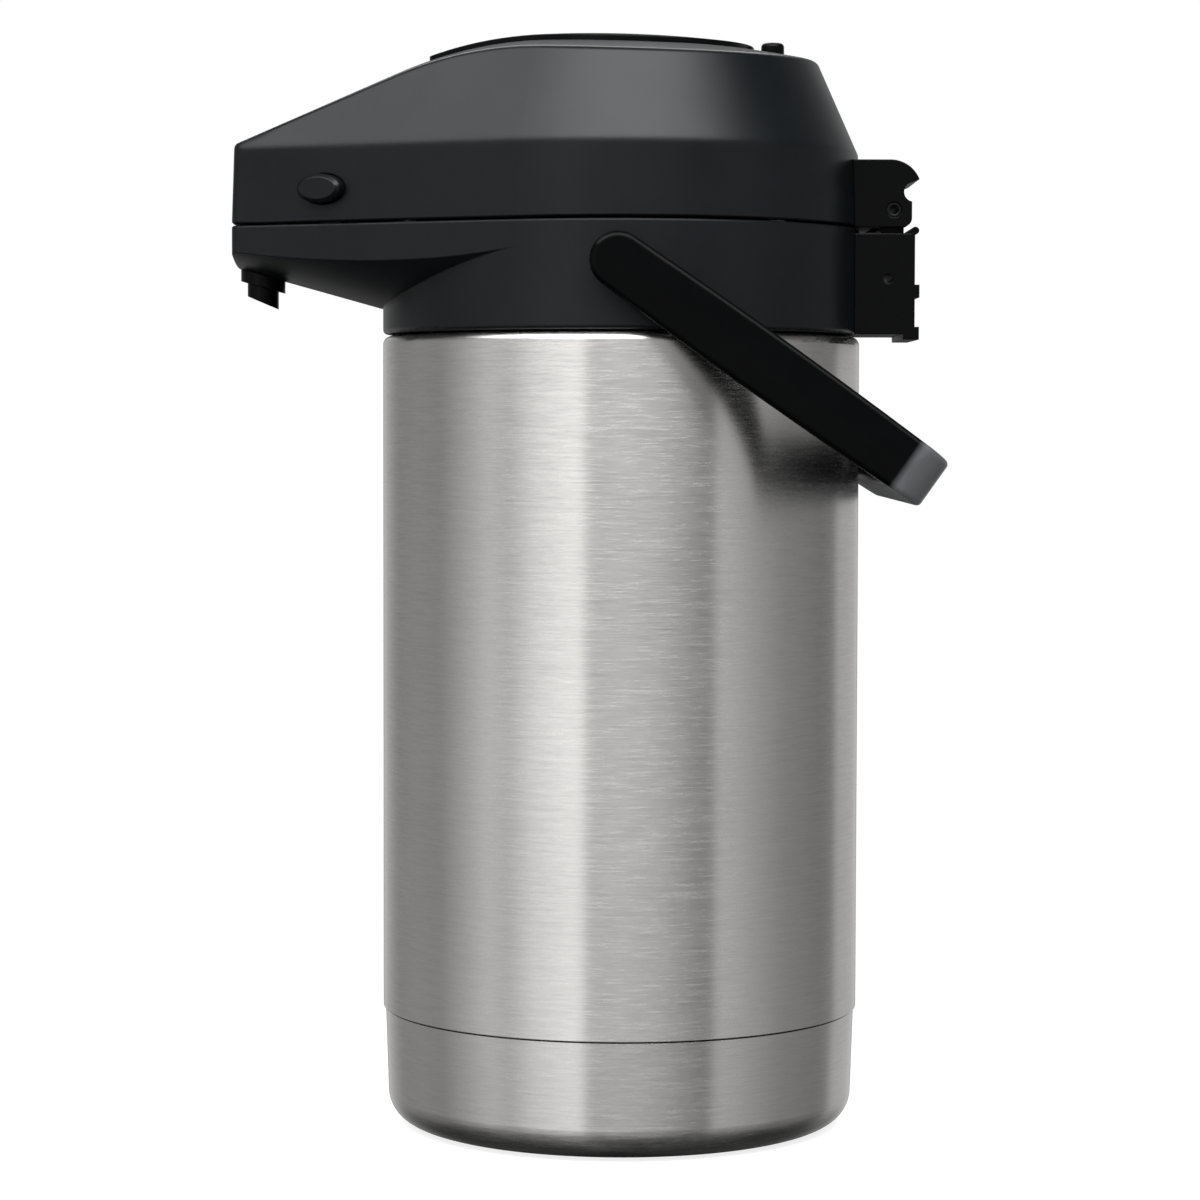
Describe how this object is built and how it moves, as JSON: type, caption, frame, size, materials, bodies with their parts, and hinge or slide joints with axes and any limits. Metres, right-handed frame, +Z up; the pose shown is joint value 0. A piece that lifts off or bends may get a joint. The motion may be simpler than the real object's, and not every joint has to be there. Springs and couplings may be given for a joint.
{
  "type": "airpot",
  "caption": "Pump-action vacuum jug: brushed steel body, black hinged pump lid with beak and nozzle, lid buttons, lock knob and bail handle.",
  "frame": {"origin": "middle of the flat underside of the foot disc, on the body's upright axis", "axes": "+Z up along the body; -X towards the spout, +X towards the lid hinge; Y across, from one handle pivot to the other"},
  "size_m": [0.2396, 0.183, 0.379],
  "materials": {
    "steel_shell": "fine brushing round the body",
    "steel_inner": "plain drawn steel",
    "black_satin": "satin moulded, fine texture",
    "black_smooth": "smooth moulded",
    "grey_plastic": "moulded",
    "silicone": "translucent matte",
    "black_rubber": "matte",
    "bright_steel": "bright drawn"
  },
  "bodies": {
    "pot": {"base_cup": "steel_shell", "foot_disc": "black_rubber", "outer_casing": "steel_shell", "inner_flask": "steel_inner", "flask_cushion": "black_rubber", "head_collar": "black_satin", "collar_gasket": "silicone", "collar_lock_ring": "grey_plastic", "stopper": "black_satin", "stopper_gasket": "silicone", "valve_cage": "grey_plastic", "dip_tube": "steel_inner", "outlet_tube": "silicone", "spout_nozzle": "black_smooth", "hinge_bracket": "black_smooth", "hinge_pin": "bright_steel", "handle_pivot_left": "grey_plastic", "handle_pivot_right": "grey_plastic"},
    "ball": {"valve_ball": "bright_steel"},
    "lid": {"lid_shell": "black_satin", "lid_hinge_block": "black_smooth", "lid_liner": "grey_plastic", "air_seal": "silicone", "lid_screws": "bright_steel", "bellows": "black_rubber", "return_spring": "bright_steel"},
    "pump": {"push_plate": "black_smooth", "bellows_disc": "grey_plastic"},
    "lock": {"lock_slider": "black_smooth"},
    "latch_left": {"latch_button_left": "black_smooth"},
    "latch_right": {"latch_button_right": "black_smooth"},
    "handle": {"bail_handle": "black_smooth"}
  },
  "joints": [
    {"name": "lid_hinge", "type": "hinge", "parent": "pot", "child": "lid", "pos_m": [0.0933, 0, 0.3184], "axis": [0, 1, 0], "range_deg": [0, 88]},
    {"name": "handle_swing", "type": "hinge", "parent": "pot", "child": "handle", "pos_m": [-0.0016, 0, 0.2982], "axis": [0, -1, 0], "range_deg": [0, 172]},
    {"name": "pump_press", "type": "slide", "parent": "lid", "child": "pump", "axis": [0, 0, -1], "range_m": [0, 0.018], "stiffness_N_per_m": 400, "springref_m": -0.02, "deforming": ["bellows", "return_spring"]},
    {"name": "lock_slide", "type": "slide", "parent": "lid", "child": "lock", "axis": [1, 0, 0], "range_m": [0, 0.006]},
    {"name": "latch_left_press", "type": "slide", "parent": "lid", "child": "latch_left", "axis": [0.4163, -0.9092, 0], "range_m": [0, 0.003], "stiffness_N_per_m": 300, "springref_m": -0.004},
    {"name": "latch_right_press", "type": "slide", "parent": "lid", "child": "latch_right", "axis": [0.4163, 0.9092, 0], "range_m": [0, 0.003], "stiffness_N_per_m": 300, "springref_m": -0.004},
    {"name": "valve_ball_lift", "type": "slide", "parent": "pot", "child": "ball", "axis": [0, 0, 1], "range_m": [0, 0.004]}
  ]
}
